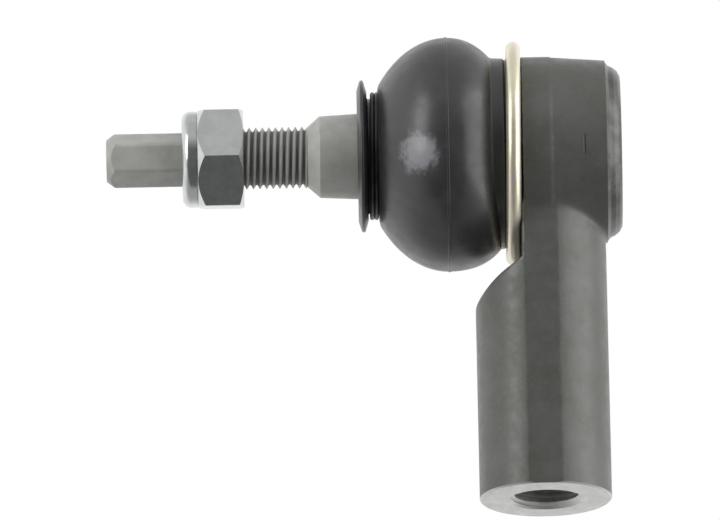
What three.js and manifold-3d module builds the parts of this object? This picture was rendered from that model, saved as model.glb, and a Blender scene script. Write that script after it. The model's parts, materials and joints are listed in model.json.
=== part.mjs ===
// A tie rod end: a ball stud held in a forged housing, with a rubber boot and a self-locking nut.
//
// The frame: millimetres, +Z up. The origin is the mouth of the threaded bore in the shank's end
// face. The shank runs up from it to the ball, and the stud's axis runs along X through the ball's
// centre, with the stud's free end towards -X.
//
// An outline is a list of [along, radius] points: along is measured on the turning axis, from the
// ball's centre for everything turned about the stud's axis.

import * as THREE from 'three';
import { mergeVertices } from 'three/addons/utils/BufferGeometryUtils.js';
import Module from 'manifold-3d';

const wasm = await Module();
wasm.setup();

// ---------------------------------------------------------------- driving dimensions

const GAP = 0.3; // clearance kept between neighbouring pieces

const BALL_RADIUS = 13.5;
const BALL_FLAT = 12.4; // the ball's flat end, from its centre
const NECK_RADIUS = 7.4;
const BOSS_RADIUS = 9.9; // the round seat of the boot's neck
const TAPER_START = -38; // where the 1:10 taper leaves the boss
const TAPER_END = -49.8;
const TAPER_SLOPE = 0.05; // radius per length, a 1:10 taper on diameter
const THREAD_START = -52.8;
const THREAD_RADIUS = 7; // M14 x 1.5
const THREAD_END = -81.2;
const TIP_END = -98.5;
const TIP_ACROSS_FLATS = 11;
const TIP_CORNER_RADIUS = 6.15;
const TIP_CORNER_ELEVATION = 20.5; // degrees, seen along the stud

const NUT_HEIGHT = 14;
const NUT_ACROSS_FLATS = 22;
const NUT_COLLAR_RADIUS = 10.7;
const NUT_COLLAR_LENGTH = 2.9;
const NUT_RIM_RADIUS = 1.5; // rounding of the collar's crimped rim
const NUT_CORNER_ELEVATION = -13; // degrees, seen along the stud
const NUT_FACE = -67.2; // the nut's clamping face

const SHANK_LENGTH = 82; // end face to ball centre
const SHANK_RADIUS = 15;
const SHANK_HALF_FLATS = 14.53; // the trimmed flash leaves a flat along the shank's front and back
const SHANK_CHAMFER = 0.8;
const BORE_RADIUS = 7.2; // minor radius of M16 x 1.5
const BORE_MOUTH_RADIUS = 8.5;
const BORE_DEPTH = 48;

const SEAT_THICKNESS = 2.7;
const SEAT_RADIUS = BALL_RADIUS + GAP + SEAT_THICKNESS;
const SEAT_OPENING = 62; // half angle of the stud side seat's opening, in degrees
const SOCKET_RADIUS = SEAT_RADIUS + GAP;
const MOUTH = -9.6; // the housing's face round the stud
const SPIGOT_RADIUS = 19.7; // what the boot's wide end sits on
const RING_SHOULDER = -3.8; // the housing's face beside the clamp ring
const HOUSING_RADIUS = 21.9;
const TRIMMED_BAND_EDGE = 2.9; // the trimmed flash is a band round the cup, up to here
const DRAFT_START_RADIUS = 21.75; // beside the band, where the die's draft starts
const COVER_SHOULDER = 13.6;
const COVER_RECESS_RADIUS = 17.6;
const LIP_UNDERSIDE = 17;
const LIP_TOP = 18.9;
const LIP_INNER_RADIUS = 15.8;

const CLAMP_WIRE_RADIUS = 1.65;
const CLAMP_RING_OUTER_RADIUS = 25.5;
const CLAMP_RING_ARC = 352; // degrees: the wire's ends stop short of each other

const BOOT_EQUATOR = [-20.7, 26.7];
const BOOT_WALL = 2.2;

const FINE = 44; // facets round a large turned piece
const MEDIUM = 32; // facets round a small one

const FINISH = {
  forged_steel: { color: 0x55564f, roughness: 0.55, metalness: 0.7 },
  stud_steel: { color: 0x9a9993, roughness: 0.35, metalness: 0.9 },
  bright_zinc: { color: 0xc4c8c8, roughness: 0.25, metalness: 1 },
  yellow_zinc: { color: 0xd9cfa0, roughness: 0.3, metalness: 1 },
  spring_steel: { color: 0x4a4a48, roughness: 0.4, metalness: 0.9 },
  plate_steel: { color: 0x8c8c88, roughness: 0.45, metalness: 0.8 },
  rubber: { color: 0x2b2c2e, roughness: 0.6, metalness: 0 },
  seal_rubber: { color: 0x1c1c1c, roughness: 0.7, metalness: 0 },
  bearing_plastic: { color: 0xe6e2d6, roughness: 0.45, metalness: 0 },
  nylon: { color: 0xb8c4d4, roughness: 0.5, metalness: 0 },
};

// ---------------------------------------------------------------- turning, cutting and joining

/** Point on a circle in an outline, at an angle in degrees from the +along direction. */
function onCircle([along, radius], size, angle) {
  const turn = THREE.MathUtils.degToRad(angle);
  return [along + size * Math.cos(turn), radius + size * Math.sin(turn)];
}

/** A round stretch of an outline: steps + 1 points between two angles. */
function arc(centre, size, fromAngle, toAngle, steps) {
  return Array.from({ length: steps + 1 }, (_, i) =>
    onCircle(centre, size, THREE.MathUtils.lerp(fromAngle, toAngle, i / steps)));
}

/** A manifold solid from a closed three.js geometry. */
function toSolid(geometry) {
  geometry.deleteAttribute('normal');
  geometry.deleteAttribute('uv');
  const merged = mergeVertices(geometry);
  const corners = merged.index.array;
  const triangles = [];
  for (let i = 0; i < corners.length; i += 3) {
    const [a, b, c] = corners.subarray(i, i + 3);
    const collapsed = a === b || b === c || c === a;
    if (!collapsed) triangles.push(a, b, c);
  }
  const mesh = new wasm.Mesh({
    numProp: 3,
    vertProperties: merged.attributes.position.array,
    triVerts: Uint32Array.from(isInsideOut(merged, triangles) ? triangles.reverse() : triangles),
  });
  return new wasm.Manifold(mesh);
}

/** True if the triangles enclose a negative volume. */
function isInsideOut(geometry, triangles) {
  const [a, b, c] = [new THREE.Vector3(), new THREE.Vector3(), new THREE.Vector3()];
  const position = geometry.attributes.position;
  let volume = 0;
  for (let i = 0; i < triangles.length; i += 3) {
    a.fromBufferAttribute(position, triangles[i]);
    b.fromBufferAttribute(position, triangles[i + 1]);
    c.fromBufferAttribute(position, triangles[i + 2]);
    volume += a.dot(b.cross(c));
  }
  return volume < 0;
}

/** A lathe geometry about Y. An outline that starts off the axis closes on itself. */
function lathe(outline, facets) {
  const points = outline.map(([along, radius]) => new THREE.Vector2(radius, along));
  if (points[0].x > 0) points.push(points[0].clone());
  return new THREE.LatheGeometry(points, facets);
}

/** A solid turned about the stud's axis, X. */
function turned(outline, facets) {
  return toSolid(lathe(outline, facets).rotateZ(-Math.PI / 2));
}

/** A solid turned about the shank's axis, Z. */
function turnedUpright(outline, facets) {
  return toSolid(lathe(outline, facets).rotateX(Math.PI / 2));
}

/** A hexagonal bar along X, with one corner at the given elevation over -Y. */
function hexagonBar(acrossFlats, from, to, cornerElevation) {
  const cornerRadius = acrossFlats / 2 / Math.cos(Math.PI / 6);
  const corners = Array.from({ length: 6 }, (_, i) => {
    const turn = THREE.MathUtils.degToRad(180 - cornerElevation + 60 * i);
    return new THREE.Vector2(cornerRadius * Math.cos(turn), cornerRadius * Math.sin(turn));
  });
  const bar = new THREE.ExtrudeGeometry(new THREE.Shape(corners), {
    depth: to - from,
    bevelEnabled: false,
  });
  const alongX = new THREE.Matrix4().makeBasis(
    new THREE.Vector3(0, 1, 0),
    new THREE.Vector3(0, 0, 1),
    new THREE.Vector3(1, 0, 0),
  );
  return toSolid(bar.applyMatrix4(alongX).translate(from, 0, 0));
}

/** A named mesh made from a solid. */
function piece(name, solid, finish) {
  const { vertProperties, triVerts } = solid.getMesh();
  const geometry = new THREE.BufferGeometry();
  geometry.setAttribute('position', new THREE.BufferAttribute(vertProperties, 3));
  geometry.setIndex(new THREE.BufferAttribute(triVerts, 1));
  geometry.computeVertexNormals();
  const mesh = new THREE.Mesh(geometry, new THREE.MeshStandardMaterial(FINISH[finish]));
  mesh.name = name;
  return mesh;
}

// ---------------------------------------------------------------- housing

/** The forged cup's outside, from the mouth to the rolled lip. */
function cup() {
  return turned([
    [MOUTH, 0],
    [MOUTH, SPIGOT_RADIUS - 0.5],
    [MOUTH + 0.5, SPIGOT_RADIUS],
    [-7.2, SPIGOT_RADIUS],
    [-6.9, 18.6],
    [-4.6, 18.6],
    [RING_SHOULDER, SPIGOT_RADIUS],
    [RING_SHOULDER, HOUSING_RADIUS - 0.4],
    [RING_SHOULDER + 0.4, HOUSING_RADIUS],
    [TRIMMED_BAND_EDGE, HOUSING_RADIUS],
    [TRIMMED_BAND_EDGE + 0.2, DRAFT_START_RADIUS],
    [15, 20.6],
    [15.9, 19.6],
    [17.15, 19.1],
    ...arc([17.5, 17.4], 1.4, 60, 0, 3),
    [LIP_TOP, 0],
  ], FINE);
}

/** The hollow that holds the ball, its seats, the spring and the cover. */
function socket() {
  const mouthAngle = THREE.MathUtils.radToDeg(Math.acos(MOUTH / SOCKET_RADIUS));
  return turned([
    [MOUTH - 1, 0],
    [MOUTH - 1, onCircle([0, 0], SOCKET_RADIUS, mouthAngle)[1]],
    ...arc([0, 0], SOCKET_RADIUS, mouthAngle, 90, 4),
    [COVER_SHOULDER, SOCKET_RADIUS],
    [COVER_SHOULDER, COVER_RECESS_RADIUS],
    [LIP_UNDERSIDE, COVER_RECESS_RADIUS],
    [LIP_UNDERSIDE, LIP_INNER_RADIUS],
    [LIP_TOP + 1, LIP_INNER_RADIUS],
    [LIP_TOP + 1, 0],
  ], FINE);
}

/** The sloping shoulder on the stud's side of the shank, which clears the clamp ring and the boot. */
function shoulderCut() {
  const outline = new THREE.Shape([
    [RING_SHOULDER, 0],
    [RING_SHOULDER, -28.2],
    [-9.5, -31.7],
    [-12.3, -33.7],
    [-14, -35.6],
    [-15, -37.6],
    [-16, -41],
    [-16, 0],
  ].map(([x, z]) => new THREE.Vector2(x, z)));
  const depth = 4 * SHANK_RADIUS;
  const cut = new THREE.ExtrudeGeometry(outline, { depth, bevelEnabled: false });
  return toSolid(cut.rotateX(Math.PI / 2).translate(0, depth / 2, 0));
}

/** The round shank that hangs from the cup, with a flat at the front and the back. */
function shank() {
  const bar = turnedUpright([
    [-SHANK_LENGTH, 0],
    [-SHANK_LENGTH, SHANK_RADIUS - SHANK_CHAMFER],
    [-SHANK_LENGTH + SHANK_CHAMFER, SHANK_RADIUS],
    [0, SHANK_RADIUS],
    [0, 0],
  ], FINE);
  const flats = new THREE.BoxGeometry(3 * SHANK_RADIUS, 2 * SHANK_HALF_FLATS, 3 * SHANK_LENGTH);
  return bar.intersect(toSolid(flats));
}

/** The blind bore that takes the tie rod's threaded end. */
function threadedBore() {
  const mouthDepth = BORE_MOUTH_RADIUS - BORE_RADIUS;
  const drillPoint = 4;
  return turnedUpright([
    [-SHANK_LENGTH - 1, 0],
    [-SHANK_LENGTH - 1, BORE_MOUTH_RADIUS + 1],
    [-SHANK_LENGTH + mouthDepth, BORE_RADIUS],
    [-SHANK_LENGTH + BORE_DEPTH, BORE_RADIUS],
    [-SHANK_LENGTH + BORE_DEPTH + drillPoint, 0],
  ], MEDIUM);
}

function housing() {
  return shank().subtract(shoulderCut()).add(cup()).subtract(socket()).subtract(threadedBore());
}

// ---------------------------------------------------------------- ball stud

/** The turned stud, from the ball's flat to the end of its thread. */
function turnedStud() {
  const flatAngle = THREE.MathUtils.radToDeg(Math.acos(BALL_FLAT / BALL_RADIUS));
  const neckAngle = 180 - THREE.MathUtils.radToDeg(Math.asin(NECK_RADIUS / BALL_RADIUS));
  return turned([
    [BALL_FLAT, 0],
    ...arc([0, 0], BALL_RADIUS, flatAngle, neckAngle, 13),
    [-16.5, NECK_RADIUS],
    [-19.5, NECK_RADIUS + 0.4],
    [-26, BOSS_RADIUS - 0.4],
    [-28.5, BOSS_RADIUS],
    [TAPER_START, BOSS_RADIUS],
    [TAPER_END, BOSS_RADIUS - (TAPER_START - TAPER_END) * TAPER_SLOPE],
    [THREAD_START, THREAD_RADIUS],
    [THREAD_END + 0.7, THREAD_RADIUS],
    [THREAD_END, TIP_CORNER_RADIUS],
    [THREAD_END, 0],
  ], MEDIUM);
}

/** The hexagon on the stud's end, which holds the stud still while the nut turns. */
function hexagonTip() {
  const overlap = 1;
  const chamfer = 2;
  const envelope = turned([
    [TIP_END, 0],
    [TIP_END, TIP_CORNER_RADIUS - 1.4],
    [TIP_END + chamfer, TIP_CORNER_RADIUS],
    [THREAD_END + overlap, TIP_CORNER_RADIUS],
    [THREAD_END + overlap, 0],
  ], MEDIUM);
  const bar = hexagonBar(TIP_ACROSS_FLATS, TIP_END, THREAD_END + overlap, TIP_CORNER_ELEVATION);
  return bar.intersect(envelope);
}

function ballStud() {
  return turnedStud().add(hexagonTip());
}

// ---------------------------------------------------------------- bearing, spring and cover

/** The shell between the ball and the housing's mouth. */
function studSideSeat() {
  const halfGapAngle = THREE.MathUtils.radToDeg(GAP / 2 / SEAT_RADIUS);
  const openingAngle = 180 - SEAT_OPENING;
  return turned([
    ...arc([0, 0], BALL_RADIUS + GAP, openingAngle, 90 + halfGapAngle, 4),
    ...arc([0, 0], SEAT_RADIUS, 90 + halfGapAngle, openingAngle, 4),
  ], MEDIUM);
}

/** The shell behind the ball, with a flat back for the spring. */
function coverSideSeat() {
  const back = 9.8;
  const halfGapAngle = THREE.MathUtils.radToDeg(GAP / 2 / SEAT_RADIUS);
  const backAngle = THREE.MathUtils.radToDeg(Math.acos(back / (BALL_RADIUS + GAP)));
  return turned([
    ...arc([0, 0], BALL_RADIUS + GAP, backAngle, 90 - halfGapAngle, 5),
    [GAP / 2, SEAT_RADIUS],
    [back, SEAT_RADIUS],
  ], MEDIUM);
}

/** A cone washer: its inner rim rests on the seat and its outer rim on the cover. */
function discSpring() {
  return turned([
    [10.1, 10.2],
    [11.2, 10.2],
    [13.6, 16],
    [12.5, 16],
  ], MEDIUM);
}

/** The closing plate, with a groove round its rim for the seal. */
function coverPlate() {
  const inner = COVER_SHOULDER + GAP;
  const outer = LIP_UNDERSIDE - GAP;
  const rim = COVER_RECESS_RADIUS - GAP;
  const grooveFloor = 15.9;
  return turned([
    [inner, 0],
    [inner, rim],
    [inner + 0.6, rim],
    [inner + 0.6, grooveFloor],
    [outer - 0.6, grooveFloor],
    [outer - 0.6, rim],
    [outer, rim],
    [outer, 0],
  ], FINE);
}

function coverSeal() {
  return turned(arc([15.3, 16.75], 0.55, 0, 315, 7), MEDIUM);
}

// ---------------------------------------------------------------- boot and its rings

/** The boot's bulging wall from its equator to the neck, a hand-drawn curve. */
function bulgeTowardsNeck(inset, steps) {
  const [along, radius] = BOOT_EQUATOR;
  const curve = new THREE.CubicBezierCurve(
    new THREE.Vector2(along, radius - inset),
    new THREE.Vector2(along - 6 + 0.3 * inset, radius - inset),
    new THREE.Vector2(-32.5 + 0.9 * inset, 22.6 - 0.6 * inset),
    new THREE.Vector2(-36.2 + inset, 16.1),
  );
  return curve.getPoints(steps).map((point) => [point.x, point.y]);
}

/** A hollow turned shell: lip, ring groove, bulge, and a collar that sits on the spigot. */
function boot() {
  const [along, radius] = BOOT_EQUATOR;
  const rearArc = 12.5;
  const crease = [-10.9, 22];
  const neckBore = BOSS_RADIUS + 0.4;
  const insertPocket = 11.6;
  return turned([
    // outside, from the lip to the collar
    [-41.2, neckBore],
    [-41.2, 14.9],
    [-40.7, 17.1],
    [-40.2, 17.4],
    [-39.2, 17.2],
    [-39.2, 13.1],
    [-36.6, 13.1],
    [-36.5, 14.6],
    ...bulgeTowardsNeck(0, 9).reverse(),
    ...arc([along, radius - rearArc], rearArc, 78, 38, 3),
    crease,
    [-7.6, 21.6],
    [-7.3, 21.2],
    [-6.8, 21.9],
    [RING_SHOULDER - GAP, 21.9],
    // inside, back to the lip
    [RING_SHOULDER - GAP, 19.9],
    [-4.7, 18.9],
    [-6.8, 18.9],
    [-7.3, SPIGOT_RADIUS + GAP],
    [-10.9, SPIGOT_RADIUS + GAP],
    ...arc([along, radius - rearArc], rearArc - BOOT_WALL, 34, 72, 3),
    ...bulgeTowardsNeck(BOOT_WALL, 7),
    [-34.2, 11],
    [-36.6, 11],
    [-36.6, insertPocket],
    [-40.6, insertPocket],
    [-40.6, neckBore],
  ], FINE);
}

/** A round wire, bent into an open ring about X. */
class WireRing extends THREE.Curve {
  constructor(radius, arcDegrees) {
    super();
    this.radius = radius;
    this.arc = THREE.MathUtils.degToRad(arcDegrees);
  }

  /** The opening between the ends is at the top of the +Y side. */
  getPoint(t, target = new THREE.Vector3()) {
    const opening = Math.PI / 4;
    const turn = opening + (2 * Math.PI - this.arc) / 2 + t * this.arc;
    return target.set(0, this.radius * Math.cos(turn), this.radius * Math.sin(turn));
  }
}

function bootClampRing() {
  const radius = CLAMP_RING_OUTER_RADIUS - CLAMP_WIRE_RADIUS;
  const section = new THREE.Shape().absarc(0, 0, CLAMP_WIRE_RADIUS, 0, 2 * Math.PI);
  const wire = new THREE.ExtrudeGeometry(section, {
    steps: 56,
    curveSegments: 5,
    extrudePath: new WireRing(radius, CLAMP_RING_ARC),
  });
  return toSolid(wire.translate(RING_SHOULDER - GAP - CLAMP_WIRE_RADIUS, 0, 0));
}

/** The flat wound ring in the groove behind the boot's lip. */
function bootNeckRing() {
  return turned([
    [-38.9, 13.5],
    [-38.9, 14.3],
    [-38.6, 14.6],
    [-37.2, 14.6],
    [-36.9, 14.3],
    [-36.9, 13.5],
  ], MEDIUM);
}

/** The bush moulded into the boot's neck, with a shoulder at its inner end. */
function bootNeckInsert() {
  const bore = BOSS_RADIUS + 0.4;
  return turned([
    [-40.3, bore],
    [-40.3, 11.25],
    [-36.9, 11.25],
    [-36.9, bore],
  ], MEDIUM);
}

// ---------------------------------------------------------------- nut

/** A hexagon nut with a round collar at its outer end, which is crimped over a nylon ring. */
function lockNut() {
  const outerEnd = NUT_FACE - NUT_HEIGHT;
  const collarEnd = outerEnd + NUT_COLLAR_LENGTH;
  const cornerRadius = NUT_ACROSS_FLATS / 2 / Math.cos(Math.PI / 6);
  const boreRadius = THREAD_RADIUS + GAP;
  const rimCentre = [outerEnd + NUT_RIM_RADIUS, NUT_COLLAR_RADIUS - NUT_RIM_RADIUS];
  const rim = [[outerEnd, 0], ...arc(rimCentre, NUT_RIM_RADIUS, 180, 90, 3)];
  const envelope = turned([
    ...rim,
    [collarEnd, NUT_COLLAR_RADIUS],
    [collarEnd + 1.4, NUT_COLLAR_RADIUS + 0.4],
    [collarEnd + 2.6, cornerRadius],
    [NUT_FACE - 1.1, cornerRadius],
    [NUT_FACE, NUT_COLLAR_RADIUS + 0.2],
    [NUT_FACE, 0],
  ], MEDIUM);
  const collar = turned([
    ...rim,
    [collarEnd + 2, NUT_COLLAR_RADIUS],
    [collarEnd + 2, 0],
  ], MEDIUM);
  const hexagon = hexagonBar(NUT_ACROSS_FLATS, collarEnd, NUT_FACE, NUT_CORNER_ELEVATION);
  const bore = turned([
    [outerEnd - 1, 0],
    [outerEnd - 1, 8.6],
    [outerEnd + 0.8, 8.6],
    [outerEnd + 0.8, 9.9],
    [outerEnd + 3.8, 9.9],
    [outerEnd + 3.8, boreRadius],
    [NUT_FACE - 0.8, boreRadius],
    [NUT_FACE + 0.2, boreRadius + 1],
    [NUT_FACE + 0.2, 0],
  ], MEDIUM);
  return hexagon.intersect(envelope).add(collar).subtract(bore);
}

/** The nylon ring that grips the thread. */
function nutInsert() {
  const outerEnd = NUT_FACE - NUT_HEIGHT;
  return turned([
    [outerEnd + 1.1, THREAD_RADIUS + GAP],
    [outerEnd + 1.1, 9.6],
    [outerEnd + 3.5, 9.6],
    [outerEnd + 3.5, THREAD_RADIUS + GAP],
  ], MEDIUM);
}

// ---------------------------------------------------------------- assembly

const ballJoint = new THREE.Group();
ballJoint.position.z = SHANK_LENGTH;
ballJoint.add(
  piece('housing', housing(), 'forged_steel'),
  piece('ball_stud', ballStud(), 'stud_steel'),
  piece('stud_side_seat', studSideSeat(), 'bearing_plastic'),
  piece('cover_side_seat', coverSideSeat(), 'bearing_plastic'),
  piece('disc_spring', discSpring(), 'spring_steel'),
  piece('cover_plate', coverPlate(), 'plate_steel'),
  piece('cover_seal', coverSeal(), 'seal_rubber'),
  piece('boot', boot(), 'rubber'),
  piece('boot_clamp_ring', bootClampRing(), 'yellow_zinc'),
  piece('boot_neck_ring', bootNeckRing(), 'spring_steel'),
  piece('boot_neck_insert', bootNeckInsert(), 'bearing_plastic'),
  piece('lock_nut', lockNut(), 'bright_zinc'),
  piece('nut_insert', nutInsert(), 'nylon'),
);

const tieRodEnd = new THREE.Group();
tieRodEnd.add(ballJoint);
export default tieRodEnd;
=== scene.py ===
import json
import math

import bmesh
import bpy
import numpy as np
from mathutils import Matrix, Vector


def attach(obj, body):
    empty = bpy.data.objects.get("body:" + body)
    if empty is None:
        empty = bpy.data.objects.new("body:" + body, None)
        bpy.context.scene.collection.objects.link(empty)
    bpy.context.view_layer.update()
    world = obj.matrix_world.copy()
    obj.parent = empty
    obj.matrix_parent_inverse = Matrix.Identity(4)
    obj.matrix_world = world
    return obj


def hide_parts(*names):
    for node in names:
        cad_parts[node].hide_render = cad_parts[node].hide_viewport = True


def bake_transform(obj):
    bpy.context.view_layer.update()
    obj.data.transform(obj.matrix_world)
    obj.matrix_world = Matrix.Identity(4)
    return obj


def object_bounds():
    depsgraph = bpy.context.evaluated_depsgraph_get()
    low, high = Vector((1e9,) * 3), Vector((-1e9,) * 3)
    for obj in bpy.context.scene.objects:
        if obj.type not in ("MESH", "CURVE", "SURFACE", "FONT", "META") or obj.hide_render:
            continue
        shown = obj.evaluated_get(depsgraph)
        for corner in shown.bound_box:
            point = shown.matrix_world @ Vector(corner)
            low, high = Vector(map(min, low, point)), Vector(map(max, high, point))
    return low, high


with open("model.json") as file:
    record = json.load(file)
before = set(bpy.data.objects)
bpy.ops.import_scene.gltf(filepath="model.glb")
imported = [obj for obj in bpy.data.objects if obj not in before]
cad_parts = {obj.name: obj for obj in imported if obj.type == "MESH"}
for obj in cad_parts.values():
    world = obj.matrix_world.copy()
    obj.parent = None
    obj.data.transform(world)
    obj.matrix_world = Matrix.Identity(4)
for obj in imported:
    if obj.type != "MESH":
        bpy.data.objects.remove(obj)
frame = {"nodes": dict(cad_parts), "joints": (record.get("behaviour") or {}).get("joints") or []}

cad_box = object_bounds()

# A tie rod end. Lengths are in millimetres from the ball's centre, as on a drawing, and become
# metres in the row's frame when a mesh is made. An outline is a list of (along, radius) corners,
# along being measured on the turning axis; a third number is the fillet at that corner.

MM = 0.001
JOINTS = {joint["name"]: joint for joint in frame["joints"]}
BALL = Vector(JOINTS["stud_tilt_y"]["pos_m"])
SHANK_LENGTH = BALL.z / MM

# ---------------------------------------------------------------- dimensions

BALL_RADIUS = 13.5
BALL_FLAT = 12.4
NECK_RADIUS = 7.4
BOSS_RADIUS = 9.9
TAPER_START = -38.0
TAPER_END = -49.8
TAPER_SLOPE = 0.05
STUD_THREAD = {"major": 7.0, "minor": 6.12, "pitch": 1.5, "from": -81.2, "to": -52.2}
CORE_END = -80.9
TIP_START = -80.0
TIP_END = -98.5
TIP_HALF_FLATS = 5.5
TIP_CORNER_RADIUS = 6.15
TIP_FLAT_ELEVATION = -9.5

NUT_FACE = -67.2
NUT_END = -81.2
NUT_SEAT = NUT_END + 3.8
NUT_COLLAR_END = NUT_END + 3.0
NUT_HALF_FLATS = 11.0
NUT_CORNER_RADIUS = 12.85
NUT_COLLAR_RADIUS = 10.95
NUT_BORE_RADIUS = 7.35
NUT_CORNER_ELEVATION = -13.0

SHANK_RADIUS = 15.0
SHANK_HALF_FLATS = 14.53
SHANK_END = -SHANK_LENGTH
BORE_THREAD = {"major": 8.0, "minor": 7.2, "pitch": 1.5}
BORE_BOTTOM = SHANK_END + 48.0
BORE_MOUTH_RADIUS = 8.5

CUP_RADIUS = 21.9
CUP_DRAFT = 0.075
BAND_EDGE = 2.9
BAND_STEP = 0.15
RING_SHOULDER = -3.8
MOUTH = -9.6
SPIGOT_RADIUS = 19.7
SOCKET_RADIUS = 16.8
LIP_START = 15.5
LIP_UNDERSIDE = 17.0
LIP_TOP = 18.9
LIP_INNER_RADIUS = 15.8
NOTCH = {"along": 10.5, "half_width": 0.8, "depth": 0.25, "bottom": -6.4, "top": -2.0}
BEYOND = 30.0  # clear of the forging, where the tools that cut it may end

# The two slopes of the shoulder on the stud's side of the shank: (along, height, rise).
GENTLE_SHOULDER = (RING_SHOULDER, -28.2, 0.62)
STEEP_SHOULDER = (-14.0, -35.5, 1.1)

BOOT_EQUATOR = (-20.7, 26.7)
BOOT_WALL = 2.2
BOOT_SAG = 2.0
MOULD_RIB = 0.14
CREASE = -10.9
COLLAR_START = -7.8
COLLAR_RADIUS = 22.0

TURNED_FACETS = 160
# Centre of the painted highlight patch on the boot, in millimetres from the ball.
HIGHLIGHT_PATCH_CENTRE = (-27.0, -23.3, -6.2)

# Light levels of the world: the white behind the object, and the dim room behind the camera.
STUDIO_WHITE = 0.95
CEILING = 0.55
CEILING_BEHIND = 0.6
TABLE_BEHIND = 0.4
ROOM_DARK = 0.13
TABLE_FRONT = 0.115

# The camera: angles in degrees, lengths in metres.
CAMERA_ELEVATION = -16.2
CAMERA_ROLL = -1.12
CAMERA_DISTANCE = 3.4
FRAME_WIDTH = 0.1640
LOOK_AT = BALL + Vector((-0.0411, 0, -0.0246))

# ---------------------------------------------------------------- outlines


def rounded(corners, steps=5):
    """An outline with each (along, radius, fillet) corner turned into an arc."""
    outline = []
    count = len(corners)
    for i, (along, radius, *fillet) in enumerate(corners):
        here = Vector((along, radius))
        if not fillet:
            outline.append(here)
            continue
        before = (Vector(corners[i - 1][:2]) - here).normalized()
        after = (Vector(corners[(i + 1) % count][:2]) - here).normalized()
        half = before.angle(after) / 2
        centre = here + (before + after).normalized() * fillet[0] / math.sin(half)
        start = here + before * fillet[0] / math.tan(half) - centre
        end = here + after * fillet[0] / math.tan(half) - centre
        turn = start.angle(end)
        for k in range(steps + 1):
            share = k / steps
            spoke = start * math.sin((1 - share) * turn) + end * math.sin(share * turn)
            outline.append(centre + spoke / math.sin(turn))
    return [tuple(p) for p in outline]


def arc(centre, size, start, end, steps):
    """Points on a circle, between two angles in degrees from +along."""
    angles = np.radians(np.linspace(start, end, steps + 1))
    return [(centre[0] + size * math.cos(a), centre[1] + size * math.sin(a)) for a in angles]


def bezier(points, steps):
    """Points on a cubic Bezier curve."""
    a, b, c, d = (np.array(p) for p in points)
    t = np.linspace(0, 1, steps + 1)[:, None]
    curve = (1 - t) ** 3 * a + 3 * (1 - t) ** 2 * t * b + 3 * (1 - t) * t * t * c + t ** 3 * d
    return [tuple(p) for p in curve]


# ---------------------------------------------------------------- meshes


def mesh_object(name, verts, faces, merge=0.0):
    """An object from points in millimetres from the ball's centre, with its faces turned outward."""
    points = np.asarray(verts, float) * MM + np.array(BALL)
    mesh = bpy.data.meshes.new(name)
    mesh.from_pydata(points.tolist(), [], faces)
    work = bmesh.new()
    work.from_mesh(mesh)
    if merge:
        bmesh.ops.remove_doubles(work, verts=work.verts, dist=merge * MM)
    bmesh.ops.recalc_face_normals(work, faces=work.faces)
    work.to_mesh(mesh)
    work.free()
    obj = bpy.data.objects.new(name, mesh)
    bpy.context.scene.collection.objects.link(obj)
    return obj


def smooth(obj, angle=32):
    """Smooth shading, with edges sharper than the angle kept crisp."""
    obj.data.polygons.foreach_set("use_smooth", [True] * len(obj.data.polygons))
    obj.data.set_sharp_from_angle(angle=math.radians(angle))
    return obj


def along_x(along, radius, turn):
    """Points at a place along the stud's axis; turn is measured from -Y upward."""
    return np.stack([along, -radius * np.cos(turn), radius * np.sin(turn)], -1)


def along_z(along, radius, turn):
    """The same about the shank's axis."""
    return np.stack([radius * np.cos(turn), radius * np.sin(turn), along], -1)


def grid_faces(rows, columns, wrap_rows):
    """Quads over a grid of points whose columns wrap round."""
    last = rows if wrap_rows else rows - 1
    i, j = np.meshgrid(np.arange(last), np.arange(columns), indexing="ij")
    up, right = (i + 1) % rows, (j + 1) % columns
    quads = np.stack([i * columns + j, up * columns + j, up * columns + right, i * columns + right], -1)
    return quads.reshape(-1, 4).tolist()


def turned(name, outline, place=along_x, facets=TURNED_FACETS):
    """A turned solid. An outline that starts off the axis closes on itself."""
    profile = np.array(outline)
    turn = np.arange(facets) * 2 * math.pi / facets
    along = np.repeat(profile[:, :1], facets, 1)
    radius = np.repeat(profile[:, 1:], facets, 1)
    verts = place(along, radius, np.broadcast_to(turn, along.shape)).reshape(-1, 3)
    faces = grid_faces(len(profile), facets, wrap_rows=profile[0, 1] > 0)
    return mesh_object(name, verts, faces, merge=1e-4)


def wire(name, along, radius, thickness, turns, pitch, start, lean=0.0, facets=20):
    """A round wire wound about the stud's axis, with flat ends. Its top leans towards +along."""
    steps = int(TURNED_FACETS * turns)
    turn = math.radians(start) + np.linspace(0, turns * 2 * math.pi, steps + 1)
    section = np.arange(facets) * 2 * math.pi / facets
    place = along + pitch * (turn - turn[0]) / (2 * math.pi)
    x = place[:, None] + thickness / 2 * np.cos(section)
    r = radius + thickness / 2 * np.sin(section) + 0 * x
    x = x + math.tan(math.radians(lean)) * r * np.sin(turn)[:, None]
    verts = along_x(x, r, turn[:, None] + 0 * x).reshape(-1, 3)
    faces = grid_faces(steps + 1, facets, wrap_rows=False)
    faces.append(list(range(facets)))
    faces.append(list(range(steps * facets, (steps + 1) * facets)))
    return mesh_object(name, verts, faces)


def thread_profile(major, minor):
    """One pitch of a thread: the shares of the pitch from the crest's start, and the radii."""
    crest, root = 0.125, 0.25
    flank = (1 - crest - root) / 2
    middle = (major + minor) / 2
    phases = np.array([0, crest, crest + flank * 0.5, crest + flank, crest + flank + root / 2,
                       crest + flank + root, crest + flank * 1.5 + root])
    return phases, np.array([major, major, middle, minor, minor, minor, middle])


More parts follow.
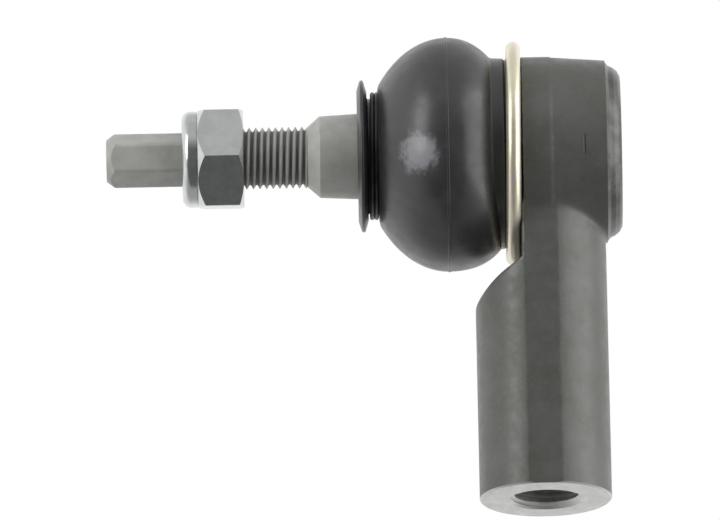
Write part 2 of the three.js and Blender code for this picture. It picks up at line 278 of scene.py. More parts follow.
def thread_faces(rows, per_pitch, facets):
    """Quads over the rows of a thread, where each turn's last column meets the next turn's first."""
    faces = []
    for i in range(rows - 1):
        for j in range(facets - 1):
            a = i * facets + j
            faces.append((a, a + facets, a + facets + 1, a + 1))
        if i + 1 + per_pitch < rows:
            a, b = i * facets + facets - 1, (i + per_pitch) * facets
            faces.append((a, a + facets, b + facets, b))
    return faces


def close_ends(mesh):
    """Fills a threaded bar's open ends, once the faces that its ends squeeze flat are gone."""
    work = bmesh.new()
    work.from_mesh(mesh)
    bmesh.ops.dissolve_degenerate(work, edges=work.edges, dist=1e-7)
    bmesh.ops.holes_fill(work, edges=[e for e in work.edges if e.is_boundary])
    bmesh.ops.recalc_face_normals(work, faces=work.faces)
    work.to_mesh(mesh)
    work.free()


def threaded(name, thread, start, end, place, lead_in, facets=96):
    """A threaded bar whose rows follow the helix. lead_in(along) caps the radius near the ends."""
    pitch = thread["pitch"]
    phases, radii = thread_profile(thread["major"], thread["minor"])
    per_pitch = len(phases)
    turns = math.ceil((end - start) / pitch) + 1
    k = np.arange(-per_pitch, turns * per_pitch + 1)
    row_phase = k // per_pitch + phases[k % per_pitch]
    turn = np.arange(facets) * 2 * math.pi / facets
    along = start + (row_phase[:, None] + turn[None, :] / (2 * math.pi)) * pitch
    along = np.clip(along, start, end)
    radius = np.minimum(radii[k % per_pitch][:, None], lead_in(along))
    verts = place(along, radius, np.broadcast_to(turn, along.shape)).reshape(-1, 3)
    bar = mesh_object(name, verts, thread_faces(len(k), per_pitch, facets), merge=1e-3)
    close_ends(bar.data)
    return bar


def net_points(value):
    """One point in each cell that the surface crosses, in cells, and the points' numbers by cell."""
    inside = value < 0
    shape = np.array(value.shape) - 1
    total = np.zeros((*shape, 3))
    count = np.zeros(shape)
    offsets = [(i, j, k) for i in (0, 1) for j in (0, 1) for k in (0, 1)]

    def corner(array, offset):
        return array[tuple(slice(o, o + n) for o, n in zip(offset, shape))]

    for axis in range(3):
        for a in (o for o in offsets if o[axis] == 0):
            b = tuple(1 if n == axis else o for n, o in enumerate(a))
            va, vb = corner(value, a), corner(value, b)
            crossed = corner(inside, a) != corner(inside, b)
            share = np.where(crossed, va / np.where(crossed, va - vb, 1), 0)
            for n in range(3):
                total[..., n] += np.where(crossed, a[n] + (share if n == axis else 0), 0)
            count += crossed
    active = count > 0
    number = np.full(shape, -1)
    number[active] = np.arange(active.sum())
    return np.argwhere(active) + total[active] / count[active][:, None], number


def net_faces(inside, number):
    """A quad for each grid edge that the surface crosses, between the four cells round it."""
    faces = []
    for axis in range(3):
        u, v = [n for n in range(3) if n != axis]
        edge = [slice(1, -1)] * 3
        edge[axis] = slice(0, -1)
        ahead = list(edge)
        ahead[axis] = slice(1, None)
        crossed = np.argwhere(inside[tuple(edge)] != inside[tuple(ahead)])
        base = crossed + np.array([0 if n == axis else 1 for n in range(3)])
        steps = []
        for du, dv in ((-1, -1), (0, -1), (0, 0), (-1, 0)):
            cell_index = base.copy()
            cell_index[:, u] += du
            cell_index[:, v] += dv
            steps.append(number[tuple(cell_index.T)])
        faces.append(np.stack(steps, -1))
    return np.concatenate(faces)


def draw_onto(points, field, step):
    """One Newton step of the points towards the field's zero."""
    here = field(*points.T)
    slope = np.stack([
        field(*(points + step * np.eye(3)[n]).T) - field(*(points - step * np.eye(3)[n]).T)
        for n in range(3)
    ], -1) / (2 * step)
    steepness = np.maximum((slope ** 2).sum(-1), 0.05)
    return points - here[:, None] * slope / steepness[:, None]


def surface_net(name, field, low, high, cell):
    """The surface where field(x, y, z) is zero, as a closed quad mesh drawn onto that surface."""
    axes = [np.arange(a - cell, b + 2 * cell, cell) for a, b in zip(low, high)]
    value = field(*np.meshgrid(*axes, indexing="ij"))
    place, number = net_points(value)
    faces = net_faces(value < 0, number)
    points = np.array([a[0] for a in axes]) + place * cell
    for _ in range(4):
        points = draw_onto(points, field, cell / 20)
    return mesh_object(name, points, faces.tolist())


def combine(obj, other, operation):
    """Joins or cuts obj with other, which is used up."""
    modifier = obj.modifiers.new("combine", "BOOLEAN")
    modifier.operation = operation
    modifier.solver = "MANIFOLD"
    modifier.object = other
    shape = obj.evaluated_get(bpy.context.evaluated_depsgraph_get())
    mesh = bpy.data.meshes.new_from_object(shape)
    obj.modifiers.clear()
    obj.data = mesh
    bpy.data.objects.remove(other)
    return obj


# Fields of distance: negative inside, in millimetres.


def both(a, b, fillet):
    """Where a and b overlap, with the edge rounded."""
    reach = np.maximum(fillet - np.abs(a - b), 0)
    return np.maximum(a, b) + reach ** 2 / (4 * fillet)


def either(a, b, fillet):
    """a joined to b, with a fillet in the corner."""
    return -both(-a, -b, fillet)


def hexagon(y, z, half_flats, flat_elevation, fillet):
    """A hexagonal bar along X, with one flat facing an elevation over -Y."""
    field = None
    for k in range(3):
        turn = math.radians(flat_elevation + 60 * k)
        side = np.abs(-y * math.cos(turn) + z * math.sin(turn)) - half_flats
        field = side if field is None else both(field, side, fillet)
    return field


# ---------------------------------------------------------------- materials


def material(name, base, roughness, metallic=0.0, specular=0.5):
    """A new material with its Principled shader set, and its node tree's helper."""
    made = bpy.data.materials.new(name)
    made.use_nodes = True
    shader = made.node_tree.nodes["Principled BSDF"]
    shader.inputs["Base Color"].default_value = (*base, 1)
    shader.inputs["Roughness"].default_value = roughness
    shader.inputs["Metallic"].default_value = metallic
    shader.inputs["Specular IOR Level"].default_value = specular
    return made, Nodes(made.node_tree, shader)


class Nodes:
    """Short calls for the nodes that the materials and the world share. Sizes are in millimetres."""

    def __init__(self, tree, shader, place="Object"):
        self.tree = tree
        self.shader = shader
        self.place = self.add("ShaderNodeTexCoord").outputs[place]
        self.height = None

    def add(self, kind, **settings):
        """A new node with its settings."""
        node = self.tree.nodes.new(kind)
        for key, value in settings.items():
            setattr(node, key, value)
        return node

    def link(self, source, target):
        self.tree.links.new(source, target)

    def noise(self, size, detail=4.0, roughness=0.55, distortion=0.0):
        """Soft random patches of about the given size."""
        node = self.add("ShaderNodeTexNoise")
        node.inputs["Scale"].default_value = 1 / (size * MM)
        node.inputs["Detail"].default_value = detail
        node.inputs["Roughness"].default_value = roughness
        node.inputs["Distortion"].default_value = distortion
        self.link(self.place, node.inputs["Vector"])
        return node.outputs["Fac"]

    def ramp(self, value, low, high, start=0.0, end=1.0):
        """The value's low..high span stretched to start..end, and held beyond it."""
        node = self.add("ShaderNodeMapRange", interpolation_type="SMOOTHSTEP")
        self.link(value, node.inputs["Value"])
        settings = {"From Min": low, "From Max": high, "To Min": start, "To Max": end}
        for key, number in settings.items():
            node.inputs[key].default_value = number
        return node.outputs["Result"]

    def math(self, operation, a, b=0.0):
        """A sum on a and b; each is a number or a socket."""
        node = self.add("ShaderNodeMath", operation=operation)
        for socket, value in zip(node.inputs, (a, b)):
            if isinstance(value, (int, float)):
                socket.default_value = value
            else:
                self.link(value, socket)
        return node.outputs[0]

    def blend(self, share, a, b):
        """Number a to number b by share; each is a number or a socket."""
        change = self.math("SUBTRACT", b, a)
        return self.math("ADD", self.math("MULTIPLY", share, change), a)

    def mix(self, share, a, b):
        """Colour a to colour b by share; each is a colour or a socket."""
        node = self.add("ShaderNodeMix", data_type="RGBA")
        self.link(share, node.inputs["Factor"])
        for key, value in (("A", a), ("B", b)):
            socket = next(s for s in node.inputs if s.name == key and s.type == "RGBA")
            if isinstance(value, tuple):
                socket.default_value = (*value, 1)
            else:
                self.link(value, socket)
        return next(s for s in node.outputs if s.type == "RGBA")

    def colour(self, socket):
        self.link(socket, self.shader.inputs["Base Color"])

    def roughness(self, socket):
        self.link(socket, self.shader.inputs["Roughness"])

    def raise_by(self, value, depth):
        """Adds a relief of the given depth, in millimetres."""
        scaled = self.math("MULTIPLY", value, depth * MM)
        self.height = scaled if self.height is None else self.math("ADD", self.height, scaled)

    def tool_marks(self, across, spacing, depth):
        """Fine turned grooves, repeating along the given distance."""
        phase = self.math("MULTIPLY", across, 2 * math.pi / (spacing * MM))
        self.raise_by(self.math("SINE", phase), depth)

    def bump(self, strength):
        """Lays the relief gathered so far on the surface."""
        node = self.add("ShaderNodeBump")
        node.inputs["Strength"].default_value = strength
        node.inputs["Distance"].default_value = 1.0
        self.link(self.height, node.inputs["Height"])
        self.link(node.outputs["Normal"], self.shader.inputs["Normal"])

    def near(self, point, inner, outer, ragged):
        """1 within the inner distance of a point and 0 beyond the outer one, with a ragged edge."""
        reach = self.add("ShaderNodeVectorMath", operation="DISTANCE")
        self.link(self.place, reach.inputs[0])
        reach.inputs[1].default_value = BALL + Vector(point) * MM
        wander = self.noise(2.4, detail=5, roughness=0.7)
        edge = self.math("MULTIPLY", wander, 2 * ragged * MM)
        reached = self.math("ADD", reach.outputs["Value"], edge)
        return self.ramp(reached, (inner + ragged) * MM, (outer + ragged) * MM, 1, 0)

    def about_axis(self, stud=True):
        """The distance from the stud's or the shank's axis, and the place along it, in metres."""
        offset = self.add("ShaderNodeVectorMath", operation="SUBTRACT")
        self.link(self.place, offset.inputs[0])
        offset.inputs[1].default_value = BALL
        split = self.add("ShaderNodeSeparateXYZ")
        self.link(offset.outputs[0], split.inputs[0])
        across = (split.outputs["Y"], split.outputs["Z"] if stud else split.outputs["X"])
        square = [self.math("MULTIPLY", socket, socket) for socket in across]
        radius = self.math("SQRT", self.math("ADD", *square))
        return radius, split.outputs["X" if stud else "Z"]


def forged_steel():
    """Dark phosphated forging skin: olive grey, faintly mottled, with fine scale pits."""
    made, nodes = material("forged_steel", (0.17, 0.17, 0.16), 0.42, metallic=0.36)
    broad = nodes.noise(9, detail=5)
    fine = nodes.noise(0.9, detail=6, roughness=0.7)
    tone = nodes.mix(nodes.ramp(broad, 0.35, 0.65), (0.128, 0.13, 0.116), (0.15, 0.15, 0.144))
    nodes.colour(nodes.mix(nodes.ramp(fine, 0.5, 0.85), tone, (0.19, 0.19, 0.185)))
    nodes.roughness(nodes.ramp(nodes.noise(2.5), 0.3, 0.7, 0.34, 0.46))
    nodes.raise_by(nodes.noise(0.55, detail=5, roughness=0.65), 0.012)
    nodes.raise_by(nodes.noise(4), 0.04)
    nodes.bump(0.6)
    return made


def machined_steel():
    """Bright turned faces: fine concentric tool marks about the shank's axis."""
    made, nodes = material("machined_steel", (0.5, 0.5, 0.49), 0.33, metallic=0.85)
    radius, _ = nodes.about_axis(stud=False)
    cloud = nodes.ramp(nodes.noise(5), 0.35, 0.7)
    nodes.colour(nodes.mix(cloud, (0.55, 0.55, 0.54), (0.65, 0.65, 0.64)))
    nodes.roughness(nodes.ramp(nodes.noise(1.2), 0.3, 0.7, 0.28, 0.42))
    nodes.tool_marks(radius, spacing=0.22, depth=0.0025)
    nodes.bump(0.5)
    return made


def lip_steel():
    """The rolled lip: burnished by the forming roller, over the dark skin."""
    made, nodes = material("lip_steel", (0.2, 0.2, 0.19), 0.3, metallic=0.6)
    radius, _ = nodes.about_axis(stud=True)
    cloud = nodes.ramp(nodes.noise(3), 0.35, 0.65)
    nodes.colour(nodes.mix(cloud, (0.1, 0.1, 0.095), (0.15, 0.15, 0.145)))
    nodes.roughness(nodes.ramp(nodes.noise(1.5), 0.3, 0.7, 0.26, 0.36))
    nodes.tool_marks(radius, spacing=0.35, depth=0.002)
    nodes.bump(0.3)
    return made


def stud_steel():
    """Turned and phosphated stud: a warm satin grey, with faint tool marks round it and painted shade
    in the thread's roots.
    """
    made, nodes = material("stud_steel", (0.5, 0.49, 0.46), 0.5, metallic=0.25)
    tone = nodes.mix(nodes.ramp(nodes.noise(4), 0.3, 0.7), (0.47, 0.466, 0.44), (0.55, 0.546, 0.52))
    radius, along = nodes.about_axis(stud=True)
    # Painted shade: past the thread's start, where the radius is under about 6.75 mm (the thread's
    # roots), the colour darkens to near black.
    painted_root_shade = nodes.ramp(radius, 6.15 * MM, 6.75 * MM, 1, 0)
    past_tip = nodes.math("GREATER_THAN", along, STUD_THREAD["from"] * MM)
    root = nodes.math("MULTIPLY", painted_root_shade, past_tip)
    nodes.colour(nodes.mix(root, tone, (0.17, 0.17, 0.165)))
    nodes.roughness(nodes.ramp(nodes.noise(1.5), 0.3, 0.7, 0.42, 0.56))
    nodes.tool_marks(along, spacing=0.3, depth=0.002)
    nodes.raise_by(nodes.noise(0.4, detail=5), 0.01)
    nodes.bump(0.5)
    return made


def bright_zinc():
    """Bright zinc plating with a faint blue cast and cloudy patches."""
    made, nodes = material("bright_zinc", (0.78, 0.8, 0.81), 0.2, metallic=1.0)
    tone = nodes.mix(nodes.ramp(nodes.noise(3), 0.3, 0.7), (0.64, 0.665, 0.66), (0.72, 0.74, 0.735))
    nodes.colour(tone)
    nodes.roughness(nodes.ramp(nodes.noise(0.8), 0.3, 0.7, 0.16, 0.24))
    nodes.raise_by(nodes.noise(1.6, detail=4), 0.008)
    nodes.bump(0.4)
    return made


def yellow_zinc():
    """Yellow passivated zinc: gold drifting to pink and olive along the wire."""
    made, nodes = material("yellow_zinc", (0.85, 0.78, 0.55), 0.3, metallic=0.75)
    drift = nodes.noise(7, detail=2)
    tone = nodes.mix(nodes.ramp(drift, 0.4, 0.6), (0.94, 0.89, 0.67), (0.93, 0.83, 0.72))
    olive = nodes.ramp(nodes.noise(4, detail=2), 0.5, 0.7)
    nodes.colour(nodes.mix(olive, tone, (0.86, 0.86, 0.63)))
    nodes.roughness(nodes.ramp(nodes.noise(1), 0.3, 0.7, 0.28, 0.36))
    nodes.raise_by(nodes.noise(2, detail=2), 0.003)
    nodes.bump(0.3)
    return made


def boot_rubber():
    """Moulded rubber: near black, with a faint grey bloom, a fine mould texture and a pale painted
    highlight patch on the bulge's front left.
    """
    made, nodes = material("boot_rubber", (0.04, 0.041, 0.042), 0.32, specular=0.8)
    bloom = nodes.ramp(nodes.noise(8, detail=6, distortion=0.4), 0.45, 0.75)
    tone = nodes.mix(bloom, (0.035, 0.036, 0.036), (0.06, 0.061, 0.064))
    # Painted highlight: a pale, ragged patch on the front left of the bulge, where the left softbox's
    # reflection falls.
    painted_highlight = nodes.near(HIGHLIGHT_PATCH_CENTRE, 2.8, 5.8, ragged=3.4)
    nodes.colour(nodes.mix(painted_highlight, tone, (0.3, 0.302, 0.325)))
    nodes.roughness(nodes.ramp(nodes.noise(3), 0.3, 0.7, 0.27, 0.37))
    nodes.raise_by(nodes.noise(0.5, detail=4), 0.012)
    nodes.raise_by(nodes.noise(6), 0.06)
    nodes.bump(0.6)
    return made


def plain(name, base, other, roughness, metallic=0.0):
    """A moulded or blackened surface with a little mottling."""
    made, nodes = material(name, base, roughness, metallic)
    nodes.colour(nodes.mix(nodes.ramp(nodes.noise(3), 0.35, 0.65), base, other))
    nodes.roughness(nodes.ramp(nodes.noise(1.5), 0.3, 0.7, roughness - 0.06, roughness + 0.06))
    nodes.raise_by(nodes.noise(0.4, detail=4), 0.008)
    nodes.bump(0.5)
    return made


FORGED = forged_steel()
MACHINED = machined_steel()
LIP = lip_steel()
STUD = stud_steel()
ZINC = bright_zinc()
YELLOW = yellow_zinc()
RUBBER = boot_rubber()
BLACK_WIRE = plain("black_wire", (0.05, 0.05, 0.05), (0.08, 0.08, 0.078), 0.4, metallic=0.6)
PLATE = plain("cover_steel", (0.35, 0.35, 0.33), (0.45, 0.45, 0.43), 0.4, metallic=0.9)
SEAL = plain("seal_rubber", (0.02, 0.02, 0.02), (0.035, 0.035, 0.035), 0.6)
ACETAL = plain("bearing_plastic", (0.78, 0.76, 0.7), (0.84, 0.82, 0.77), 0.42)
NYLON = plain("nylon", (0.6, 0.66, 0.74), (0.68, 0.73, 0.8), 0.45)


def finish_piece(obj, body, slot, *nodes, finish):
    """Gives a rigid piece its material and body, and hides the CAD nodes it stands for. The slot is not
    used.
    """
    obj.data.materials.clear()
    for entry in finish if isinstance(finish, tuple) else (finish,):
        obj.data.materials.append(entry)
    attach(obj, body)
    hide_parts(*nodes)


# ---------------------------------------------------------------- housing


def shoulder_height(x):
    """The sloping shoulder on the stud's side of the shank: its height over the ball's centre."""
    lines = (GENTLE_SHOULDER, STEEP_SHOULDER)
    gentle, steep = (height + (x - along) * rise for along, height, rise in lines)
    return -both(-gentle, -steep, 2.0)


def forging(x, y, z):
    """The cup and the shank as they leave the dies."""
    past_band = x - BAND_EDGE
    step = np.clip(past_band / 0.2, 0, 1) * BAND_STEP
    draft = np.maximum(past_band, 0) * CUP_DRAFT
    outer = np.hypot(y, z) - (CUP_RADIUS - step - draft)
    ends = np.maximum(RING_SHOULDER - x, x - LIP_TOP - 1)
    cup = both(outer, ends, 0.5)

    wave = 0.02 * np.sin(z * 0.7 + 2 * np.sin(z * 0.31))
    shank = both(np.hypot(x, y) - SHANK_RADIUS, np.abs(y) - SHANK_HALF_FLATS - wave, 0.03)
    shank = np.maximum(shank, SHANK_END - 1 - z)
    shank = np.maximum(shank, z)
    kept = either(z - shoulder_height(x), RING_SHOULDER - 0.5 - x, 0.8)
    shank = both(shank, kept, 0.6)
    return either(cup, shank, 1.3)


def spigot():
    """The short tube round the mouth, with the groove that holds the boot's collar."""
    return turned("spigot", rounded([
        (MOUTH, 0), (MOUTH, SPIGOT_RADIUS, 0.5), (-7.2, SPIGOT_RADIUS), (-6.9, 18.6), (-4.6, 18.6),
        (RING_SHOULDER, SPIGOT_RADIUS), (0, SPIGOT_RADIUS), (0, 0)]))


def lip_cut():
    """Leaves the rolled lip, thinner than the cup, at the cover's end."""
    return turned("lip", rounded([
        (LIP_START, BEYOND), (LIP_START, 20.55, 0.25), (LIP_START + 0.7, 19.65, 0.3),
        (17.3, 19.15, 0.6), (18.3, 18.3, 0.7), (LIP_TOP, 17.2, 0.5), (LIP_TOP, LIP_INNER_RADIUS, 0.2),
        (LIP_UNDERSIDE, LIP_INNER_RADIUS), (LIP_UNDERSIDE, 5), (BEYOND, 5), (BEYOND, BEYOND)], steps=6))


def socket_cut():
    """The hollow for the seats, the spring and the cover."""
    mouth_angle = math.degrees(math.acos(MOUTH / SOCKET_RADIUS))
    return turned("socket", [
        (MOUTH - 1, 0), (MOUTH - 1, math.sqrt(SOCKET_RADIUS ** 2 - MOUTH ** 2)),
        *arc((0, 0), SOCKET_RADIUS, mouth_angle, 90, 10),
        (13.6, SOCKET_RADIUS), (13.6, 17.6), (LIP_UNDERSIDE, 17.6), (LIP_UNDERSIDE, LIP_INNER_RADIUS),
        (BEYOND, LIP_INNER_RADIUS), (BEYOND, 0)])


def chisel_cut():
    """A shallow upright notch in the front of the cup."""
    along, half_width = NOTCH["along"], NOTCH["half_width"]
    corners = []
    for z in (NOTCH["bottom"], NOTCH["top"]):
        skin = -math.sqrt(21.17 ** 2 - z * z)
        corners += [(along - half_width, skin - 0.6, z), (along + half_width, skin - 0.6, z),
                    (along, skin + NOTCH["depth"], z)]
    faces = [(0, 1, 4, 3), (1, 2, 5, 4), (2, 0, 3, 5), (0, 2, 1), (3, 4, 5)]
    return mesh_object("notch", corners, faces)


def end_cut():
    """Faces the shank's end and breaks its edge."""
    return turned("end", rounded([
        (SHANK_END - 5, 0), (SHANK_END - 5, BEYOND), (SHANK_END + 4, BEYOND),
        (SHANK_END + 4, SHANK_RADIUS + 0.6), (SHANK_END + 0.4, SHANK_RADIUS + 0.05),
        (SHANK_END, SHANK_RADIUS - 0.35, 0.1), (SHANK_END, 0)]), place=along_z)


def bore_cut():
    """The tap's thread, which runs out before the bottom of the drilled hole."""
    start = SHANK_END - 3
    end = BORE_BOTTOM - 6
    return threaded("bore", BORE_THREAD, start, end, along_z,
                    lambda z: 7.1 + np.minimum(end - z, 3 * (z - start)))


def bore_mouth_cut():
    """The drilled hole and the chamfer at its mouth."""
    drilled = BORE_THREAD["minor"]
    return turned("bore_mouth", [
        (SHANK_END - 2, 0), (SHANK_END - 2, BORE_MOUTH_RADIUS + 2),
        (SHANK_END + BORE_MOUTH_RADIUS - drilled, drilled), (BORE_BOTTOM, drilled),
        (BORE_BOTTOM + 4, 0)], place=along_z)


def housing():
    """The forging with its spigot, machined with each cutting tool in turn."""
    obj = surface_net("housing_body", forging, (-16, -23, SHANK_END - 2), (21, 23, 23), 0.45)
    combine(obj, spigot(), "UNION")
    for cut in (lip_cut, socket_cut, chisel_cut, end_cut, bore_cut, bore_mouth_cut):
        combine(obj, cut(), "DIFFERENCE")
    return smooth(obj, 28)


def assign_by_face(obj, choose):
    """Sets each face's material number from its centre, in millimetres from the ball, and normal."""
    for face in obj.data.polygons:
        face.material_index = choose((face.center - BALL) / MM, face.normal)


def housing_finish(centre, normal):
    """0 is the forged skin, 1 is turned bright, 2 is the rolled lip."""
    in_bore = math.hypot(centre.x, centre.y) < BORE_MOUTH_RADIUS + 0.2
    below = centre.z < BORE_BOTTOM + 5
    if below and (in_bore or normal.z < -0.6):
        return 1
    return 2 if centre.x > LIP_START + 0.05 and math.hypot(centre.y, centre.z) < 20.54 else 0


body = housing()
finish_piece(body, "housing", "forged_steel", "housing", finish=(FORGED, MACHINED, LIP))
assign_by_face(body, housing_finish)

cover = smooth(turned("cover", rounded([
    (13.9, 0), (13.9, 17.3), (14.5, 17.3), (14.5, 15.9), (16.0, 15.9), (16.0, 17.3),
    (16.6, 17.3, 0.2), (16.6, 9.5, 1.0), (15.6, 8.3, 1.0), (15.6, 0)])))
finish_piece(cover, "housing", "plate_steel", "cover_plate", finish=PLATE)

# ---------------------------------------------------------------- ball stud


def hexagon_tip(x, y, z):
    """The hexagon that holds the stud from turning, with a chamfered end."""
    radius = np.hypot(y, z)
    sides = hexagon(y, z, TIP_HALF_FLATS, TIP_FLAT_ELEVATION, 0.12)
    sides = both(sides, radius - TIP_CORNER_RADIUS, 0.1)
    cone = (radius - 4.75 - (x - TIP_END) * 0.75) * 0.8
    ends = both(TIP_END - x, cone, 0.15)
    return np.maximum(both(sides, ends, 0.15), x - TIP_START)


def ball_stud():
    """The ball, neck, boss and taper in one turning, joined to the thread and the hexagon tip."""
    thread = STUD_THREAD
    core = thread["minor"] - 0.1
    flat_angle = math.degrees(math.acos(BALL_FLAT / BALL_RADIUS))
    neck_angle = 180 - math.degrees(math.asin(NECK_RADIUS / BALL_RADIUS))
    neck_start = BALL_RADIUS * math.cos(math.radians(neck_angle))
    taper_end_radius = BOSS_RADIUS - (TAPER_START - TAPER_END) * TAPER_SLOPE
    obj = turned("stud", rounded([
        (BALL_FLAT, 0),
        *arc((0, 0), BALL_RADIUS, flat_angle, neck_angle - 3, 40),
        (neck_start - 0.2, NECK_RADIUS, 0.5), (-18, NECK_RADIUS, 6), (-27, BOSS_RADIUS, 4),
        (TAPER_START, BOSS_RADIUS), (TAPER_END, taper_end_radius, 0.5),
        (-52.6, thread["major"] - 0.15, 0.4), (-53.4, core), (CORE_END, core), (CORE_END, 0)],
        steps=8))
    start, end = thread["from"], thread["to"]
    bar = threaded("thread", thread, start, end, along_x,
                   lambda x: 6.0 + np.minimum((x - start) * 1.2, (end - x) * 2.5))
    combine(obj, bar, "UNION")
    tip = surface_net("tip", hexagon_tip, (TIP_END, -7, -7), (TIP_START, 7, 7), 0.16)
    combine(obj, tip, "UNION")
    return smooth(obj, 30)


stud = ball_stud()
finish_piece(stud, "stud", "stud_steel", "ball_stud", finish=STUD)

# ---------------------------------------------------------------- nut


def hexagon_bar(name, start, end, half_flats, flat_elevation, fillet):
    """A hexagonal prism about the stud's axis, with its long edges rounded."""
    corner = half_flats / math.cos(math.pi / 6)
    inset = fillet / math.cos(math.pi / 6)
    section = []
    for k in range(6):
        middle = flat_elevation + 30 + 60 * k
        heart = (corner - inset) * np.array([math.cos(math.radians(middle)),
                                             math.sin(math.radians(middle))])
        section += arc(heart, fillet, middle - 30, middle + 30, 4)
    verts = [(x, -a, b) for x in (start, end) for a, b in section]
    count = len(section)
    faces = grid_faces(2, count, wrap_rows=False)
    faces += [list(range(count)), list(range(count, 2 * count))]
    return mesh_object(name, verts, faces)


def lock_nut():
    """The hexagon with its bevelled face, and the round collar that holds the nylon ring."""
    collar = turned("collar", rounded([
        (NUT_COLLAR_END + 0.3, NUT_COLLAR_RADIUS), (NUT_END, NUT_COLLAR_RADIUS, 1.9),
        (NUT_END, 8.6, 0.25), (NUT_END + 0.8, 8.6, 0.2), (NUT_END + 0.8, 9.9), (NUT_SEAT, 9.9),
        (NUT_SEAT, 9.0), (NUT_SEAT + 0.9, 9.0)], steps=8))
    obj = turned("nut", rounded([
        (NUT_SEAT, NUT_BORE_RADIUS), (NUT_SEAT, 9.95), (NUT_COLLAR_END, 9.95), (NUT_COLLAR_END, 10.3),
        (NUT_SEAT + 1.6, NUT_CORNER_RADIUS, 0.3), (NUT_FACE - 1.1, NUT_CORNER_RADIUS, 0.3),
        (NUT_FACE, 11.05, 0.3), (NUT_FACE, 8.3, 0.2), (NUT_FACE - 0.95, NUT_BORE_RADIUS, 0.2)]))
    sides = hexagon_bar("sides", NUT_COLLAR_END - 1, NUT_FACE + 1, NUT_HALF_FLATS,
                        NUT_CORNER_ELEVATION + 30, 0.35)
    combine(obj, sides, "INTERSECT")
    combine(obj, collar, "UNION")
    return smooth(obj, 24)


nut = lock_nut()
finish_piece(nut, "nut", "bright_zinc", "lock_nut", finish=ZINC)

grip = smooth(turned("grip_ring", rounded([
    (NUT_END + 1.1, 7.3, 0.3), (NUT_END + 1.1, 9.6, 0.3), (NUT_END + 3.5, 9.6, 0.3),
    (NUT_END + 3.5, 7.3, 0.3)])))
finish_piece(grip, "nut_insert", "nylon", "nut_insert", finish=NYLON)

# ---------------------------------------------------------------- boot and its rings


def mould_rib(side):
    """Half of the fine rib that the mould's joint leaves round the equator."""
    along, radius = BOOT_EQUATOR
    crest = radius + MOULD_RIB
    return [(along, crest), (along + side * 0.22, crest), (along + side * 0.34, radius - 0.01)]


def boot_bulge(inset, steps):
    """The bulge from the equator to the neck."""
    along, radius = BOOT_EQUATOR
    return bezier([
        (along, radius - inset), (along - 6 + 0.3 * inset, radius - inset),
        (-32.5 + 0.9 * inset, 22.6 - 0.6 * inset), (-36.2 + inset, 16.1)], steps)


def boot_front():
    """From the mould line to the lip that seals on the stud."""
    outside = [
        *mould_rib(-1),
        *boot_bulge(0, 28)[2:],
        *rounded([(-36.2, 16.0), (-36.5, 14.8, 0.3), (-36.55, 13.1, 0.3), (-38.9, 13.1, 0.3),
                  (-38.9, 14.6, 0.4), (-39.7, 17.3, 0.25), (-40.4, 17.4, 0.4), (-41.2, 15.0, 0.6),
                  (-41.2, 10.3, 0.3), (-40.6, 10.3)])[1:],
    ]
    inside = [
        (-40.6, 11.6), (-36.6, 11.6), (-36.6, 11), (-34.2, 11),
        *boot_bulge(BOOT_WALL, 20)[::-1],
    ]
    return smooth(turned("boot_front", outside + inside), 40)


def boot_shoulder(inset, steps):
    """The bulge from the equator to the crease beside the collar."""
    along, radius = BOOT_EQUATOR
    return bezier([
        (along, radius - inset), (along + 4.1 - 0.2 * inset, radius - inset),
        (-13.6 - 0.4 * inset, 25.0 - 0.9 * inset), (CREASE - 0.2 * inset, 22.1 - inset)], steps)


def boot_rear():
    """From the mould line back to the collar under the clamp ring. It sags onto the ring below."""
    outside = [
        *mould_rib(1),
        *boot_shoulder(0, 24)[2:],
        *rounded([(CREASE + 0.1, COLLAR_RADIUS), (-10.5, 21.85, 0.1), (COLLAR_START, 21.7, 0.4),
                  (-7.3, 21.2, 0.2), (-6.8, COLLAR_RADIUS, 0.2), (-4.1, COLLAR_RADIUS, 0.2),
                  (-4.1, 19.9)]),
    ]
    inside = [
        (-4.7, 18.9), (-6.8, 18.9), (-7.3, 20),
        *boot_shoulder(BOOT_WALL, 16)[::-1],
    ]
    obj = turned("boot_rear", outside + inside)
    for vertex in obj.data.vertices:
        place = (vertex.co - BALL) / MM
        share = np.interp(place.x, (BOOT_EQUATOR[0], CREASE, COLLAR_START), (0, 1, 0))
        vertex.co.x += BOOT_SAG * MM * share * max(-place.z / COLLAR_RADIUS, 0) ** 3
    return smooth(obj, 40)


front = boot_front()
rear = boot_rear()
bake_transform(front)
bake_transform(rear)
for shell in (front, rear):
    shell.data.materials.append(RUBBER)
    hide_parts("boot")

clamp = smooth(wire("clamp_ring", along=-5.7, radius=23.85, thickness=3.3, turns=352 / 360,
                    pitch=0, start=139, lean=0.9))
finish_piece(clamp, "housing", "yellow_zinc", "boot_clamp_ring", finish=YELLOW)

neck_ring = smooth(wire("neck_ring", along=-38.35, radius=14.1, thickness=1.0, turns=2.1,
                        pitch=1.0, start=165))
finish_piece(neck_ring, "neck", "spring_steel", "boot_neck_ring", finish=BLACK_WIRE)

# ---------------------------------------------------------------- pieces that stay as designed

for name, finish in {
    "stud_side_seat": ACETAL,
    "cover_side_seat": ACETAL,
    "disc_spring": BLACK_WIRE,
    "cover_seal": SEAL,
    "boot_neck_insert": ACETAL,
}.items():
    node = frame["nodes"][name]
    node.data.materials.clear()
    node.data.materials.append(finish)

# ---------------------------------------------------------------- studio and camera


def aim(obj, target):
    """Turns a camera or a lamp towards a point."""
    obj.rotation_euler = (Vector(target) - obj.location).to_track_quat("-Z", "Y").to_euler()


def direction(azimuth, elevation):
    """A unit vector: azimuth 0 is towards -Y, 90 towards +X."""
    a, e = math.radians(azimuth), math.radians(elevation)
    return Vector((math.sin(a) * math.cos(e), -math.cos(a) * math.cos(e), math.sin(e)))


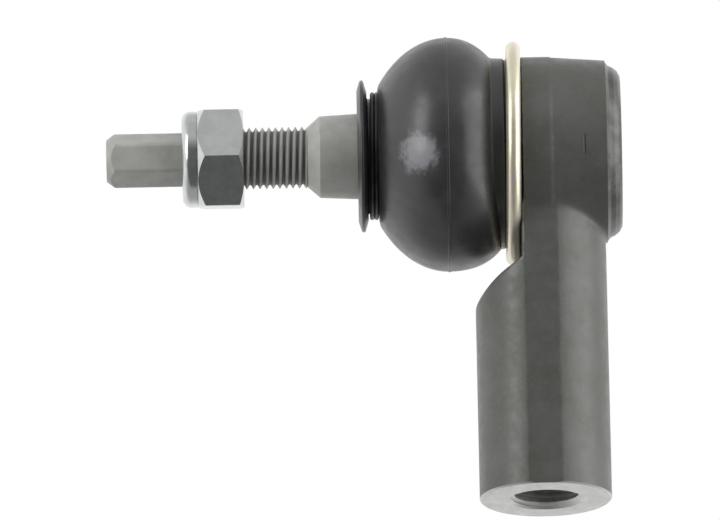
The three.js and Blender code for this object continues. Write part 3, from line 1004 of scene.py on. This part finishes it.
def softbox(name, azimuth, elevation, width, height, power):
    """A soft lamp one metre from the object's middle, unseen by the camera."""
    data = bpy.data.lights.new(name, "AREA")
    data.shape = "RECTANGLE"
    data.size, data.size_y = width, height
    data.energy = power
    lamp = bpy.data.objects.new(name, data)
    bpy.context.scene.collection.objects.link(lamp)
    middle = (cad_box[0] + cad_box[1]) / 2
    lamp.location = middle + direction(azimuth, elevation)
    aim(lamp, middle)
    lamp.visible_camera = False


def studio_world():
    """White to the camera. To the object it is a white studio, but a dim room on the -Y side."""
    world = bpy.data.worlds.new("studio")
    world.use_nodes = True
    background = world.node_tree.nodes["Background"]
    nodes = Nodes(world.node_tree, background, place="Generated")
    split = nodes.add("ShaderNodeSeparateXYZ")
    nodes.link(nodes.place, split.inputs[0])
    x, y, up = (split.outputs[axis] for axis in "XYZ")
    squares = [nodes.math("MULTIPLY", axis, axis) for axis in (x, y)]
    level = nodes.math("MAXIMUM", nodes.math("SQRT", nodes.math("ADD", *squares)), 0.05)
    front = nodes.math("DIVIDE", nodes.math("MULTIPLY", y, -1.0), level)
    room = nodes.ramp(front, 0.3, 0.85)
    ceiling = nodes.ramp(up, 0.15, 0.7)
    table = nodes.ramp(up, -0.35, -0.9)
    white = nodes.blend(nodes.ramp(up, 0.6, 0.95), STUDIO_WHITE, CEILING_BEHIND)
    white = nodes.blend(table, white, TABLE_BEHIND)
    dim = nodes.blend(ceiling, ROOM_DARK, CEILING)
    dim = nodes.blend(table, dim, TABLE_FRONT)
    shade = nodes.blend(room, white, dim)
    seen = nodes.add("ShaderNodeLightPath").outputs["Is Camera Ray"]
    nodes.link(nodes.math("MAXIMUM", seen, shade), background.inputs["Strength"])
    background.inputs["Color"].default_value = (1, 1, 1, 1)
    bpy.context.scene.world = world


def floor():
    """A pale floor that only the camera sees, and only from above."""
    bpy.ops.mesh.primitive_plane_add(size=6, location=(0, 0, 0))
    made = bpy.context.object
    made.name = "floor"
    paint, nodes = material("pale_floor", (0.8, 0.8, 0.79), 0.9)
    clear = nodes.add("ShaderNodeBsdfTransparent")
    switch = nodes.add("ShaderNodeMixShader")
    nodes.link(nodes.add("ShaderNodeNewGeometry").outputs["Backfacing"], switch.inputs["Fac"])
    nodes.link(nodes.shader.outputs["BSDF"], switch.inputs[1])
    nodes.link(clear.outputs["BSDF"], switch.inputs[2])
    nodes.link(switch.outputs["Shader"], paint.node_tree.nodes["Material Output"].inputs["Surface"])
    made.data.materials.append(paint)
    for ray in ("diffuse", "glossy", "transmission", "shadow"):
        setattr(made, f"visible_{ray}", False)


def studio_camera():
    """A long lens below the object, looking up at it."""
    data = bpy.data.cameras.new("camera")
    data.sensor_width = 36
    data.lens = data.sensor_width * CAMERA_DISTANCE / FRAME_WIDTH
    data.clip_end = 100
    camera = bpy.data.objects.new("camera", data)
    bpy.context.scene.collection.objects.link(camera)
    bpy.context.scene.camera = camera
    camera.location = LOOK_AT + direction(0, CAMERA_ELEVATION) * CAMERA_DISTANCE
    aim(camera, LOOK_AT)
    camera.rotation_euler.rotate_axis("Z", math.radians(CAMERA_ROLL))


studio_world()
bpy.context.scene.view_settings.view_transform = "Standard"
softbox("left_softbox", azimuth=-48, elevation=17, width=0.36, height=0.9, power=2.9)
softbox("right_softbox", azimuth=67, elevation=8, width=1.1, height=1.5, power=6.7)
floor()
studio_camera()
